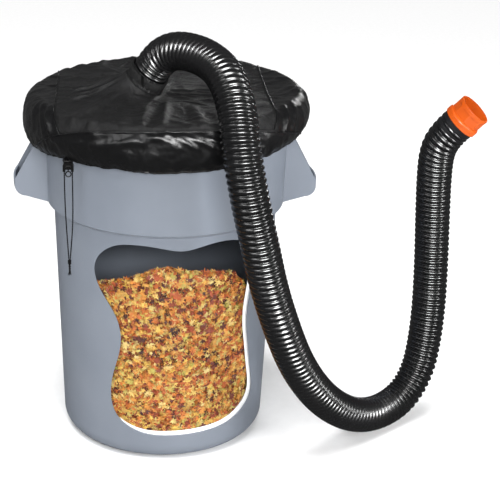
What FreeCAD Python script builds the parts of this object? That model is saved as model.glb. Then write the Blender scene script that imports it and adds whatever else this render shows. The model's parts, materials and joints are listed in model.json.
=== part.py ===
"""Leaf collection set: round bin, drawstring cover, corrugated hose and outlet adapter.

Millimetres, +Z up, X across the handles, origin at the centre of the bin's base on the ground.
"""
import FreeCAD, Part
import math
import os

Vec = FreeCAD.Vector

# Bin
BIN_BASE_R = 258.8
BIN_GROOVE_R = 277.6
BIN_BAND_R = 294.5
BIN_RIM_R = 305.0
BIN_GROOVE_Z = 600.0
BIN_BAND_Z = 612.0
BIN_RIM_Z = 875.0
RIM_BEAD_H = 24.0
RIM_ROUND_R = 5.0
BASE_CORNER_R = 40.0
BIN_WALL = 4.0
FLOOR_TOP_Z = 11.0
INNER_CORNER_R = 30.0
FOOT_INNER_R = 195.0
FOOT_RECESS = 5.0

# Side handles, seen along Y: X is measured outwards from the bin's axis
HANDLE_HALF_W = 60.0
HANDLE_WEB = 4.5
HANDLE_TOP = (301.0, 790.0)
HANDLE_SLOPE_TOP = (314.0, 772.0)
HANDLE_CORNER = (369.0, 671.0)
HANDLE_BOTTOM_Z = 630.0
HANDLE_ROOT_Z = 603.0
HANDLE_CORNER_R = 26.0
GRIP_DEPTH = 34.0
GRIP_BULGE = 6.0
GRIP_LIP_H = 20.0

# Cut-away window in the front wall: points of its outline, X and Z
WINDOW = [
    (-176, 492), (-164, 540), (-126, 572), (-78, 580), (-20, 575), (30, 568), (75, 576), (130, 583),
    (178, 568), (205, 515), (204, 440), (195, 355), (202, 276), (213, 190), (210, 120), (175, 88),
    (105, 73), (10, 70), (-72, 79), (-122, 113), (-138, 172), (-131, 235), (-114, 325), (-127, 388),
    (-158, 440),
]
TRIM_LIP = 5.0
TRIM_SHOW = 11.0
TRIM_THICK = 2.2

# Leaves: a mound that is highest behind the window and falls away to the back
LEAF_GAP = 1.0
LEAF_CREST_Z = 535.0
LEAF_SLOPE_DEG = 28.0
LEAF_RIDGE_R = 417.0

# Cover
PANEL_Z = 875.6
PANEL_T = 1.6
PANEL_R = 318.0
MESH_LEFT_X = -260.0
MESH_RIGHT_X = 236.0
PIPING_R = 320.8
PIPING_SECTION_R = 2.6
SKIRT_T = 1.8
SKIRT = [(322.0, 873.0), (336.0, 858.0), (344.0, 834.0), (344.5, 812.0), (337.0, 784.0)]
HEM_R = 333.0
HEM_Z = 779.0
HEM_SECTION_R = 4.6
HEM_BORE_R = 2.6
STRING_R = 1.5
HEM_GAP_DEG = 7.0

# Cord lock, on the front left of the hem
LOCK_X = -234.0
LOCK_Y = -234.5
LOCK_TOP_Z = 773.2
LOCK_W = 25.0
LOCK_D = 15.0
LOCK_H = 22.0
LOCK_CORD_X = 9.2
LOCK_CORD_Y = -1.5
LOCK_HOLE_R = 1.85
LOCK_SLOT_Z = -10.0
LOCK_CAP_T = 1.5
BUTTON_W = 22.0
BUTTON_H = 5.0
BUTTON_FRONT_W = 10.0
BUTTON_PROUD = 3.2
BUTTON_BAR_T = 2.5
BUTTON_GAP = 0.3
SPRING_R = 1.6
SPRING_WIRE_R = 0.22
SPRING_POCKET = 1.0
RING_R = 6.2
RING_SECTION_R = 1.4
RING_DROP = 30.0
TAB_T = 3.0

# Hose, from the cover's sleeve over the rim, down to the ground and up to the adapter
HOSE_R = 45.0
HOSE_WALL = 2.0
HOSE_ROUTE = [
    (-61.7, -26.8, 901.8), (-30, -39, 960), (0, -72, 994), (36, -110, 1006), (84, -175, 1004),
    (120, -250, 985), (140, -326, 935), (148, -380, 850), (168, -394, 742), (197, -388, 625),
    (225, -372, 510), (262, -350, 400), (302, -320, 298), (355, -282, 206), (415, -230, 130),
    (485, -170, 70), (560, -108, 43), (630, -60, 60), (674, -36, 125), (690, -22, 210),
    (695, -14, 302), (694, -8, 396), (690, -4, 490), (684, -6, 582), (678, -14, 668),
    (676, -26, 738), (690, -41, 784), (713, -51, 812),
]

# Drawstring tails, from the eyelets to the knot
TAIL_ROUTE = [(0, 0), (0, 60), (1.2, 118), (3.4, 170), (6.0, 212), (7.6, 243)]
TAIL_RIGHT_BOW = [0, 0, 1.6, 2.2, 1.2, 0]
KNOT_LEN = 36.0
KNOT_R = 3.4

# Sleeve and strap round the hose's lower end
SLEEVE_T = 1.2
SLEEVE_LEN = 44.0
SLEEVE_REACH = 70.0
STRAP_T = 1.5
STRAP_W = 19.0
STRAP_START = 19.5

# End cuff and adapter, along the hose's last run
CUFF_BAND = 13.0
CUFF_BAND_R = 44.0
CUFF_SPIGOT = 26.0
CUFF_NOSE = 13.0
CUFF_NOSE_R = 41.0
CUFF_BORE_R = 38.0
SKIRT_OD_R = 47.0
SKIRT_LEN = 18.0
SHOULDER_R = 7.0
BODY_FLAT_R = 40.0
BODY_LEN = 51.0
MOUTH_RING_R = 43.0
MOUTH_RING_LEN = 9.0
MOUTH_EDGE_R = 1.2
MOUTH_FLAT_R = 37.8
SOCKET_R = 36.0
SOCKET_LEN = 14.0
SEAL_T = 2.0
SIDES = 8


# Helpers

def save(name, shape):
    """Write one sub-part and report its volume."""
    shape = shape.removeSplitter()
    shape.exportStep(os.path.join("parts", name + ".step"))
    print(f"{name}: {len(shape.Solids)} solid(s), {shape.Volume / 1000:.2f} cm3, valid {shape.isValid()}")


def outline_face(points, y=0.0):
    """A face in the XZ plane. A pair of points in the list is an arc through the first to the second."""
    edges = []
    last = Vec(points[0][0], y, points[0][1])
    for item in points[1:] + points[:1]:
        is_arc = isinstance(item[0], tuple)
        stops = [Vec(x, y, z) for x, z in (item if is_arc else [item])]
        edge = Part.Arc(last, *stops) if is_arc else Part.LineSegment(last, *stops)
        edges.append(edge.toShape())
        last = stops[-1]
    return Part.Face(Part.Wire(edges))


def revolve_outline(points, shift=0.0):
    """Turn a closed outline of (radius, height) points about the Z axis."""
    face = outline_face(points).translated(Vec(shift, 0, 0))
    return face.revolve(Vec(0, 0, 0), Vec(0, 0, 1), 360)


def arc_to(centre, radius, start_deg, end_deg):
    """An arc for an outline: its start, then the pair of its middle and end."""
    start, middle, end = [
        (centre[0] + radius * math.cos(math.radians(turn)), centre[1] + radius * math.sin(math.radians(turn)))
        for turn in (start_deg, (start_deg + end_deg) / 2, end_deg)
    ]
    return [start, (middle, end)]


def spline_prism(points, y_from, y_to, dx=0.0, dz=0.0):
    """Extrude a smooth closed outline of (x, z) points along Y."""
    curve = Part.BSplineCurve()
    curve.interpolate(Points=[Vec(x + dx, y_from, z + dz) for x, z in points], PeriodicFlag=True)
    face = Part.Face(Part.Wire(curve.toShape()))
    return face.extrude(Vec(0, y_to - y_from, 0))


def tube(start, direction, r_out, r_in, length):
    """A straight pipe along any direction."""
    outer = Part.makeCylinder(r_out, length, start, direction)
    return outer.cut(Part.makeCylinder(r_in, length, start, direction))


def box_between(low, high):
    """An axis-aligned box between two corners."""
    size = [b - a for a, b in zip(low, high)]
    return Part.makeBox(*size, Vec(*low))


def mirror_x(shape):
    """The same shape on the other side of the YZ plane."""
    return shape.mirror(Vec(0, 0, 0), Vec(1, 0, 0))


def route_wire(points):
    """Straight runs joined by tangent arcs, each as large as its two runs allow. Prints the radii."""
    edges, radii = [], []
    last = points[0]
    for before, here, after in zip(points, points[1:], points[2:]):
        back, on = before - here, after - here
        turn = math.pi - back.getAngle(on)
        reach = 0.45 * min(back.Length, on.Length)
        radius = reach / math.tan(turn / 2)
        radii.append(round(radius))
        back.normalize()
        on.normalize()
        enter, leave = here + back * reach, here + on * reach
        inward = (back + on).normalize()
        middle = here + inward * (radius / math.cos(turn / 2) - radius)
        edges.append(Part.LineSegment(last, enter).toShape())
        edges.append(Part.Arc(enter, middle, leave).toShape())
        last = leave
    edges.append(Part.LineSegment(last, points[-1]).toShape())
    print("  arc radii in mm:", radii)
    return Part.Wire(edges)


def sweep_round(points, r_out, r_in=0.0):
    """A round cord or pipe along a route, with its volume checked against section times length."""
    wire = route_wire(points)
    direction = points[1] - points[0]

    def swept(radius):
        ring = Part.Wire(Part.makeCircle(radius, points[0], direction))
        return wire.makePipeShell([ring], True, False)

    solid = swept(r_out)
    section = math.pi * r_out ** 2
    if r_in:
        solid = solid.cut(swept(r_in))
        section -= math.pi * r_in ** 2
    print(f"  length {wire.Length:.0f} mm, volume ratio {solid.Volume / (section * wire.Length):.4f}")
    return solid


# Bin

def wall_radius(z):
    """Outer radius of the bin's lower wall at a height."""
    rise = (z - BASE_CORNER_R) / (BIN_GROOVE_Z - BASE_CORNER_R)
    return BIN_BASE_R + (BIN_GROOVE_R - BIN_BASE_R) * rise


def inner_outline(wall_gap=0.0, floor_gap=0.0):
    """The bin's inside from the floor's centre up to the groove, moved in by a gap."""
    off = BIN_WALL + wall_gap
    corner_r = INNER_CORNER_R - wall_gap
    floor_z = FLOOR_TOP_Z + floor_gap
    corner = arc_to((BIN_BASE_R - off - corner_r, floor_z + corner_r), corner_r, -90, 0)
    return [(0.0, floor_z)] + corner + [(BIN_GROOVE_R - off, BIN_GROOVE_Z)]


def bin_shell():
    """The moulded wall, band, rim bead and recessed floor, before the window is cut."""
    corner = arc_to((BIN_BASE_R - BASE_CORNER_R, BASE_CORNER_R), BASE_CORNER_R, -90, 0)
    bead_z = BIN_RIM_Z - RIM_BEAD_H
    outer = [(0.0, FOOT_RECESS), (FOOT_INNER_R - 8, FOOT_RECESS), (FOOT_INNER_R, 0.0)] + corner
    outer += [
        (BIN_GROOVE_R, BIN_GROOVE_Z),
        (BIN_BAND_R, BIN_BAND_Z),
        (BIN_BAND_R + 5, bead_z - 6),
        (BIN_RIM_R, bead_z),
    ]
    outer += arc_to((BIN_RIM_R - RIM_ROUND_R, BIN_RIM_Z - RIM_ROUND_R), RIM_ROUND_R, 0, 90)
    outer.append((0.0, BIN_RIM_Z))
    inside = inner_outline() + [
        (BIN_BAND_R - BIN_WALL, BIN_BAND_Z + 2),
        (BIN_BAND_R - 3, BIN_RIM_Z - 3),
        (BIN_BAND_R, BIN_RIM_Z + 1),
        (0.0, BIN_RIM_Z + 1),
    ]
    return revolve_outline(outer).cut(revolve_outline(inside))


def bin_body():
    """The bin with its free-form window cut through the front wall."""
    window = spline_prism(WINDOW, -BIN_RIM_R - 20, -60.0)
    return bin_shell().cut(window)


def window_edge_trim():
    """A thin crescent lining the lower right of the window, bonded to the inside of the wall."""
    off = BIN_WALL + 0.15
    sheet = revolve_outline([
        (wall_radius(45) - off - TRIM_THICK, 45.0),
        (wall_radius(45) - off, 45.0),
        (wall_radius(590) - off, 590.0),
        (wall_radius(590) - off - TRIM_THICK, 590.0),
    ])
    lip = spline_prism(WINDOW, -BIN_RIM_R, -60.0, TRIM_LIP, -TRIM_LIP)
    show = spline_prism(WINDOW, -BIN_RIM_R - 1, -59.0, -TRIM_SHOW, TRIM_SHOW)
    strip = sheet.common(lip).cut(show)
    return max(strip.Solids, key=lambda piece: piece.Volume)


def leaf_pile():
    """Leaves filling the bin under a ridge that slopes down towards the back."""
    outline = inner_outline(LEAF_GAP + TRIM_THICK, 0.05)
    fill = revolve_outline(outline + [(0.0, BIN_GROOVE_Z)])
    slope = math.radians(LEAF_SLOPE_DEG)
    along = Vec(0, math.cos(slope), -math.sin(slope))
    across = Vec(0, math.sin(slope), math.cos(slope))
    crest = Vec(0, -BIN_GROOVE_R, LEAF_CREST_Z)
    start = crest - across * LEAF_RIDGE_R - along * 300
    return fill.common(Part.makeCylinder(LEAF_RIDGE_R, 1200, start, along))


def handle_right():
    """One moulded side handle: two webs, and a hollow grip between them below the hand hole."""
    corner_c = (HANDLE_CORNER[0] - HANDLE_CORNER_R, HANDLE_BOTTOM_Z + HANDLE_CORNER_R)
    corner = arc_to(corner_c, HANDLE_CORNER_R, 0, -90)
    inside = 250.0
    web = [(inside, HANDLE_TOP[1]), HANDLE_TOP, HANDLE_SLOPE_TOP, HANDLE_CORNER] + corner
    web.append((inside, HANDLE_ROOT_Z))
    plate = outline_face(web, -HANDLE_HALF_W).extrude(Vec(0, HANDLE_WEB, 0))
    far_plate = plate.translated(Vec(0, 2 * HANDLE_HALF_W - HANDLE_WEB, 0))

    chord_r = (HANDLE_HALF_W ** 2 + GRIP_BULGE ** 2) / (2 * GRIP_BULGE)
    axis_x = HANDLE_CORNER[0] + GRIP_BULGE - chord_r
    shift = chord_r - HANDLE_CORNER[0]
    skin = [(HANDLE_CORNER[0], HANDLE_CORNER[1])] + corner
    lip_x = HANDLE_CORNER[0] - GRIP_DEPTH
    lip_z = HANDLE_BOTTOM_Z + GRIP_LIP_H
    skin += [(lip_x, HANDLE_BOTTOM_Z), (lip_x, lip_z), (lip_x + HANDLE_WEB, lip_z)]
    skin += [(lip_x + HANDLE_WEB, HANDLE_BOTTOM_Z + HANDLE_WEB)]
    skin += arc_to(corner_c, HANDLE_CORNER_R - HANDLE_WEB, -90, 0)
    skin += [(HANDLE_CORNER[0] - HANDLE_WEB, HANDLE_CORNER[1])]
    ring = revolve_outline(skin, shift).translated(Vec(axis_x, 0, 0))
    span = box_between((300, -HANDLE_HALF_W + 1, 600), (400, HANDLE_HALF_W - 1, 800))
    grip = ring.common(span)

    handle = plate.fuse([far_plate, grip])
    return handle.cut(bin_envelope())


def bin_envelope():
    """The bin's outside as a solid, which the handles are trimmed to."""
    return revolve_outline([
        (0.0, 560.0),
        (wall_radius(560.0), 560.0),
        (BIN_GROOVE_R, BIN_GROOVE_Z),
        (BIN_BAND_R, BIN_BAND_Z),
        (BIN_BAND_R + 5, BIN_RIM_Z - RIM_BEAD_H - 6),
        (0.0, BIN_RIM_Z - RIM_BEAD_H - 6),
    ])


# Cover

def cover_panels():
    """The top of the cover in three sewn panels, with the hole under the leaning sleeve."""
    disc = Part.makeCylinder(PANEL_R, PANEL_T, Vec(0, 0, PANEL_Z))
    start, along = hose_start()
    reach = 1.5 * SLEEVE_REACH
    disc = disc.cut(Part.makeCylinder(HOSE_R - 3, reach, start - along * reach, along))
    cuts = {
        "cover_end_panel_left": (-PANEL_R - 5, MESH_LEFT_X),
        "cover_top_panel": (MESH_LEFT_X, MESH_RIGHT_X),
        "cover_end_panel_right": (MESH_RIGHT_X, PANEL_R + 5),
    }
    low, high = PANEL_Z - 1, PANEL_Z + PANEL_T + 1
    return {
        name: disc.common(box_between((x0, -PANEL_R - 5, low), (x1, PANEL_R + 5, high)))
        for name, (x0, x1) in cuts.items()
    }


def skirt_half(front):
    """Half of the skirt, sewn to the other half above the two handles."""
    inner = [(r - SKIRT_T, z) for r, z in SKIRT]
    ring = revolve_outline(SKIRT + inner[::-1])
    y0, y1 = (-400, 0) if front else (0, 400)
    return ring.common(box_between((-400, y0, 700), (400, y1, 900)))


def ring_of(radius, height, section_r, bore_r=0.0, gap_deg=0.0):
    """A round or hollow ring about the Z axis, with a gap where the cord lock hangs."""
    span = 360 - gap_deg

    def torus(tube_r):
        return Part.makeTorus(radius, tube_r, Vec(), Vec(0, 0, 1), 0, 360, span)

    ring = torus(section_r)
    if bore_r:
        ring = ring.cut(torus(bore_r))
    turn = math.degrees(math.atan2(LOCK_Y, LOCK_X)) + gap_deg / 2
    ring.rotate(Vec(), Vec(0, 0, 1), turn)
    return ring.translated(Vec(0, 0, height))


def lock_frame(shape):
    """Move a shape from the cord lock's own axes to its place under the hem."""
    return shape.translated(Vec(LOCK_X, LOCK_Y, LOCK_TOP_Z))


def hem_ring():
    """The hem's sewn tunnel, open over the tab where the drawstring comes out."""
    return ring_of(HEM_R, HEM_Z, HEM_SECTION_R, HEM_BORE_R, HEM_GAP_DEG)


def drawstring():
    """The drawstring inside the tunnel."""
    return ring_of(HEM_R, HEM_Z, STRING_R, gap_deg=HEM_GAP_DEG)


def hem_tab():
    """A folded fabric tab that closes the gap in the tunnel and carries the two eyelets."""
    bottom = HEM_Z - HEM_SECTION_R
    tab = box_between((LOCK_X - 13.8, LOCK_Y - 10, bottom), (LOCK_X + 13.8, LOCK_Y + 10, bottom + TAB_T))
    tab = tab.makeFillet(4, [e for e in tab.Edges if abs(e.tangentAt(e.FirstParameter).z) > 0.9])
    for side in (-1, 1):
        at = Vec(LOCK_X + side * LOCK_CORD_X, LOCK_Y + LOCK_CORD_Y, bottom - 1)
        tab = tab.cut(Part.makeCylinder(3.0, TAB_T + 2, at))
    return tab


def hem_eyelets():
    """Two flanged eyelets set in the tab."""
    bottom = HEM_Z - HEM_SECTION_R
    eyelets = []
    for side in (-1, 1):
        at = Vec(LOCK_X + side * LOCK_CORD_X, LOCK_Y + LOCK_CORD_Y, bottom)
        barrel = tube(at, Vec(0, 0, 1), 3.0, 1.7, TAB_T + 0.6)
        flange = tube(at + Vec(0, 0, TAB_T), Vec(0, 0, 1), 4.4, 1.7, 0.6)
        eyelets.append(barrel.fuse(flange))
    return Part.makeCompound(eyelets)


# Cord lock, in its own axes: X across, Y to the back, Z down from its top

def lock_outline():
    """The bell-shaped front view of the lock."""
    half = LOCK_W / 2
    right = [(7.0, 0.0), (10.0, -2.5), (half, -7.5), (half, -LOCK_H), (half - 6.2, -LOCK_H)]
    right += [(half - 6.2, -LOCK_H + 5)]
    left = [(-x, z) for x, z in right[::-1]]
    return right + left


def cord_lock_body():
    """The lock's housing, with its cord holes, the button's chamber and the lanyard ring."""
    half_d = LOCK_D / 2
    corners = [Vec(x, -half_d, z) for x, z in lock_outline()]
    body = Part.Face(Part.makePolygon(corners + corners[:1])).extrude(Vec(0, LOCK_D, 0))
    for side in (-1, 1):
        at = Vec(side * LOCK_CORD_X, LOCK_CORD_Y, 1)
        body = body.cut(Part.makeCylinder(LOCK_HOLE_R, LOCK_H + 2, at, Vec(0, 0, -1)))
    half_w, half_h = BUTTON_W / 2 + BUTTON_GAP, BUTTON_H / 2 + BUTTON_GAP
    chamber = box_between((-half_w, LOCK_CORD_Y - LOCK_HOLE_R, -half_h), (half_w, half_d + 1, half_h))
    front_w = BUTTON_FRONT_W / 2 + BUTTON_GAP
    front = box_between((-front_w, -half_d - 1, -half_h), (front_w, 0, half_h))
    body = body.cut(chamber.fuse(front).translated(Vec(0, 0, LOCK_SLOT_Z)))
    stem_top = -LOCK_H + 6
    stem_len = RING_DROP - RING_R + stem_top
    stem = Part.makeCylinder(RING_SECTION_R, stem_len, Vec(0, 0, stem_top), Vec(0, 0, -1))
    ring = Part.makeTorus(RING_R, RING_SECTION_R, Vec(0, 0, -RING_DROP), Vec(0, 1, 0))
    return lock_frame(body.fuse([stem, ring]))


def cord_lock_cap():
    """The plate that closes the chamber's back."""
    half_w, half_h = BUTTON_W / 2 + 0.25, BUTTON_H / 2 + 0.25
    plate = box_between((-half_w, LOCK_D / 2 - LOCK_CAP_T, -half_h), (half_w, LOCK_D / 2, half_h))
    return lock_frame(plate.translated(Vec(0, 0, LOCK_SLOT_Z)))


def bar_rear():
    """Y of the button's back, behind the cords that it grips."""
    return LOCK_CORD_Y + STRING_R + 0.2 + BUTTON_BAR_T


def cord_lock_button():
    """The sliding button: a front end between the two cords, and a cross bar that grips them."""
    half_w, half_h, front_w = BUTTON_W / 2, BUTTON_H / 2, BUTTON_FRONT_W / 2
    rear = bar_rear()
    nose_y = -LOCK_D / 2 - BUTTON_PROUD
    front = box_between((-front_w, nose_y, -half_h), (front_w, rear, half_h))
    front = front.makeFillet(0.8, [e for e in front.Edges if e.CenterOfMass.y < nose_y + 0.1])
    bar = box_between((-half_w, rear - BUTTON_BAR_T, -half_h), (half_w, rear, half_h))
    pocket_at = Vec(0, rear - SPRING_POCKET, 0)
    pocket = Part.makeCylinder(SPRING_R + 0.6, SPRING_POCKET + 1, pocket_at, Vec(0, 1, 0))
    button = front.fuse(bar).cut(pocket)
    return lock_frame(button.translated(Vec(0, 0, LOCK_SLOT_Z)))


def cord_lock_spring():
    """A small compression spring between the button and the cap."""
    margin = SPRING_WIRE_R + 0.02
    y0 = bar_rear() - SPRING_POCKET + margin
    length = LOCK_D / 2 - LOCK_CAP_T - margin - y0
    coil = Part.makeHelix(length / 3, length, SPRING_R)
    ring = Part.Wire(Part.makeCircle(SPRING_WIRE_R, Vec(SPRING_R, 0, 0), Vec(0, 1, 0)))
    spring = Part.Wire(coil).makePipeShell([ring], True, True)
    spring.rotate(Vec(0, 0, 0), Vec(1, 0, 0), -90)
    return lock_frame(spring.translated(Vec(0, y0, LOCK_SLOT_Z)))


def tail_route(side):
    """Centreline of one drawstring tail, straight through the lock and then in to the knot."""
    route = []
    top = HEM_Z - HEM_SECTION_R + TAB_T
    for (inward, drop), bow in zip(TAIL_ROUTE, TAIL_RIGHT_BOW):
        if side > 0:
            inward -= bow
        route.append(Vec(LOCK_X + side * (LOCK_CORD_X - inward), LOCK_Y + LOCK_CORD_Y, top - drop))
    return route


def cord_knot():
    """The tails' joined end: a wrapped barrel with a frayed tuft below it."""
    end = tail_route(1)[-1]
    centre = Vec((end.x + tail_route(-1)[-1].x) / 2, end.y, end.z - 0.3)
    barrel = Part.makeCylinder(KNOT_R, KNOT_LEN, centre, Vec(0, 0, -1))
    barrel = barrel.makeFillet(1.2, barrel.Edges[:1] + barrel.Edges[2:])
    tuft = Part.makeCone(1.6, 3.6, 10, centre - Vec(0, 0, KNOT_LEN - 0.5), Vec(0, 0, -1))
    return barrel.fuse(tuft)


# Sleeve and strap

def hose_start():
    """Start point and direction of the hose at the cover."""
    points = [Vec(*p) for p in HOSE_ROUTE[:2]]
    return points[0], (points[1] - points[0]).normalize()


def hose_sleeve():
    """The fabric sleeve standing on the cover, leaning with the hose."""
    start, along = hose_start()
    r_in = HOSE_R + 0.2
    sleeve = tube(start - along * SLEEVE_REACH, along, r_in + SLEEVE_T, r_in, SLEEVE_LEN + SLEEVE_REACH)
    below = box_between((-200, -200, 700), (200, 200, PANEL_Z + PANEL_T + 0.1))
    return sleeve.cut(below)


def strap_band(r_in, thick, start_s, width, from_deg=0.0, to_deg=360.0):
    """A band round the sleeve, or a sector of one, measured from the front."""
    start, along = hose_start()
    at = start + along * start_s
    band = Part.makeCylinder(r_in + thick, width, at, along)
    band = band.cut(Part.makeCylinder(r_in, width, at, along))
    if to_deg - from_deg >= 360:
        return band
    fan = [Vec(0, 0, 0)]
    for i in range(7):
        angle = math.radians(from_deg + (to_deg - from_deg) * i / 6 - 90)
        fan.append(Vec(90 * math.cos(angle), 90 * math.sin(angle), 0))
    wedge = Part.Face(Part.makePolygon(fan + fan[:1])).extrude(Vec(0, 0, 200))
    return band.common(wedge.translated(Vec(at.x, at.y, at.z - 60)))


def strap_radius():
    """Inner radius of the strap."""
    return HOSE_R + 0.2 + SLEEVE_T + 0.1


def strap_loop():
    """A rectangular slide loop over the strap, beside its tail."""
    r_in = strap_radius() + 0.2
    outer = strap_band(r_in, STRAP_T + 2.4, STRAP_START - 1.8, STRAP_W + 3.6, -14.0, -6.0)
    inner = strap_band(r_in - 1, STRAP_T + 1.6, STRAP_START - 0.2, STRAP_W + 0.4, -20.0, 0.0)
    return outer.cut(inner)


# Hose end and adapter

def end_frame():
    """End point of the hose and the direction of its last run."""
    points = [Vec(*p) for p in HOSE_ROUTE[-2:]]
    return points[1], (points[1] - points[0]).normalize()


def on_end(shape):
    """Turn a shape built along +Z from the origin onto the hose's end."""
    end, along = end_frame()
    shape.Placement = FreeCAD.Placement(end, FreeCAD.Rotation(Vec(0, 0, 1), along)) * shape.Placement
    return shape


def hose_cuff():
    """The smooth end cuff: a spigot in the hose, a band, and a nose that the adapter turns on."""
    return on_end(revolve_outline([
        (CUFF_BORE_R, -CUFF_SPIGOT),
        (HOSE_R - HOSE_WALL - 0.2, -CUFF_SPIGOT),
        (HOSE_R - HOSE_WALL - 0.2, 0.05),
        (CUFF_BAND_R, 0.05),
        (CUFF_BAND_R, CUFF_BAND),
        (CUFF_NOSE_R, CUFF_BAND),
        (CUFF_NOSE_R, CUFF_BAND + CUFF_NOSE),
        (CUFF_BORE_R, CUFF_BAND + CUFF_NOSE),
    ]))


def prism_ring(flat_r, length, z):
    """An eight-sided solid, with its sides at one distance from the Z axis."""
    corner_r = flat_r / math.cos(math.pi / SIDES)
    corners = []
    for i in range(SIDES):
        angle = (i + 0.5) * 2 * math.pi / SIDES
        corners.append(Vec(corner_r * math.cos(angle), corner_r * math.sin(angle), z))
    solid = Part.Face(Part.makePolygon(corners + corners[:1])).extrude(Vec(0, 0, length))
    upright = [e for e in solid.Edges if e.BoundBox.ZLength > length - 1]
    return solid.makeFillet(5.0, upright)


def shoulder():
    """Distance from the hose's end to the adapter's inner shoulder, which the seal lies on."""
    return CUFF_BAND + CUFF_NOSE + 0.3 + SEAL_T


def adapter():
    """The adapter: a round skirt, eight flat sides, and a socket for the blower's outlet."""
    z0 = CUFF_BAND + 0.4
    skirt_end = z0 + SKIRT_LEN
    shoulder_arc = arc_to((SKIRT_OD_R - SHOULDER_R, skirt_end - SHOULDER_R), SHOULDER_R, 0, 90)
    skirt = revolve_outline([(0, z0), (SKIRT_OD_R, z0)] + shoulder_arc + [(0, skirt_end)])
    body_z = skirt_end - SHOULDER_R
    end_z = z0 + BODY_LEN
    body = skirt.fuse(prism_ring(BODY_FLAT_R, end_z - body_z, body_z))
    rim = Part.makeCylinder(MOUTH_RING_R, MOUTH_RING_LEN, Vec(0, 0, end_z - MOUTH_RING_LEN))
    body = body.fuse(rim.makeFillet(MOUTH_EDGE_R, rim.Edges[:1]))
    nose_room = Part.makeCylinder(CUFF_NOSE_R + 0.35, shoulder() - z0 + 1, Vec(0, 0, z0 - 1))
    socket = Part.makeCylinder(SOCKET_R, BODY_LEN, Vec(0, 0, z0))
    mouth = prism_ring(MOUTH_FLAT_R, BODY_LEN, shoulder() + SOCKET_LEN)
    hollow = nose_room.fuse([socket, mouth])
    return on_end(body.cut(hollow))


def adapter_seal():
    """The rubber ring on the adapter's inner shoulder."""
    at = Vec(0, 0, shoulder() - SEAL_T)
    return on_end(tube(at, Vec(0, 0, 1), CUFF_NOSE_R - 0.1, CUFF_BORE_R + 0.3, SEAL_T))


def build():
    os.makedirs("parts", exist_ok=True)
    save("bin_body", bin_body())
    save("window_edge_trim", window_edge_trim())
    save("leaf_pile", leaf_pile())
    right = handle_right()
    save("bin_handle_right", right)
    save("bin_handle_left", mirror_x(right))

    for name, panel in cover_panels().items():
        save(name, panel)
    save("cover_skirt_front", skirt_half(True))
    save("cover_skirt_back", skirt_half(False))
    save("top_seam_piping", ring_of(PIPING_R, PANEL_Z + PANEL_T / 2, PIPING_SECTION_R))
    save("hem_casing", hem_ring())
    save("drawstring", drawstring())
    save("hem_tab", hem_tab())
    save("hem_eyelets", hem_eyelets())

    save("cord_lock_body", cord_lock_body())
    save("cord_lock_cap", cord_lock_cap())
    save("cord_lock_button", cord_lock_button())
    save("cord_lock_spring", cord_lock_spring())
    save("drawstring_tail_left", sweep_round(tail_route(-1), STRING_R))
    save("drawstring_tail_right", sweep_round(tail_route(1), STRING_R))
    save("cord_knot", cord_knot())

    save("hose_sleeve", hose_sleeve())
    save("sleeve_strap", strap_band(strap_radius(), STRAP_T, STRAP_START, STRAP_W))
    save("strap_tail", strap_band(strap_radius() + STRAP_T + 0.1, STRAP_T, STRAP_START, STRAP_W, 0.0, 48.0))
    save("strap_loop", strap_loop())

    save("hose", sweep_round([Vec(*p) for p in HOSE_ROUTE], HOSE_R, HOSE_R - HOSE_WALL))
    save("hose_cuff_outlet", hose_cuff())
    save("adapter", adapter())
    save("adapter_seal", adapter_seal())


build()
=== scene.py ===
import json
import math
import random

import bmesh
import bpy
import numpy as np
from mathutils import Matrix, Vector, noise


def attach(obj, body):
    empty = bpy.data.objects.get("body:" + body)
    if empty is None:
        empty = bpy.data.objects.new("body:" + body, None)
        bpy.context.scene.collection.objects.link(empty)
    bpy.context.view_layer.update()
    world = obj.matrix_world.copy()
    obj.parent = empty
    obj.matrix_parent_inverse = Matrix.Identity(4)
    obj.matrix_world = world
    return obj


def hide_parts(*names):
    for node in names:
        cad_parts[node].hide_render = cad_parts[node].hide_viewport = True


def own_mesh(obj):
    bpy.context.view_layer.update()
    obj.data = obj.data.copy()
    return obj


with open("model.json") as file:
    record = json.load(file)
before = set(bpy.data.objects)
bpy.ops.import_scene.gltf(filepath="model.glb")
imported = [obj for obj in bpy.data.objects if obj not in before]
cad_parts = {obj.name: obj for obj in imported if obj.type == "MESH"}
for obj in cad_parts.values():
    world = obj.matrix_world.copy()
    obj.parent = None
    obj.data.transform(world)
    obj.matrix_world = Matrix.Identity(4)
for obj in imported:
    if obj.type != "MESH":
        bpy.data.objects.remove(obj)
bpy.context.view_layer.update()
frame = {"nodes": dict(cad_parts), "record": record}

TAU = 2 * math.pi
random.seed(7)


# ---- materials

def new_material(name):
    mat = bpy.data.materials.new(name)
    mat.use_nodes = True
    tree = mat.node_tree
    tree.nodes.clear()
    out = tree.nodes.new("ShaderNodeOutputMaterial")
    shader = tree.nodes.new("ShaderNodeBsdfPrincipled")
    tree.links.new(shader.outputs["BSDF"], out.inputs["Surface"])
    return mat, tree, shader


def node(tree, kind, inputs=(), **settings):
    made = tree.nodes.new(kind)
    for key, value in settings.items():
        setattr(made, key, value)
    for key, value in dict(inputs).items():
        if isinstance(value, bpy.types.NodeSocket):
            tree.links.new(value, made.inputs[key])
        else:
            made.inputs[key].default_value = value
    return made


def coords(tree, kind="Object", scale=(1, 1, 1)):
    place = node(tree, "ShaderNodeTexCoord")
    return node(tree, "ShaderNodeMapping", {"Vector": place.outputs[kind], "Scale": scale}).outputs[0]


def noise_tex(tree, at, scale, detail=3.0, rough=0.55):
    return node(tree, "ShaderNodeTexNoise",
                {"Vector": at, "Scale": scale, "Detail": detail, "Roughness": rough}).outputs["Fac"]


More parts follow.
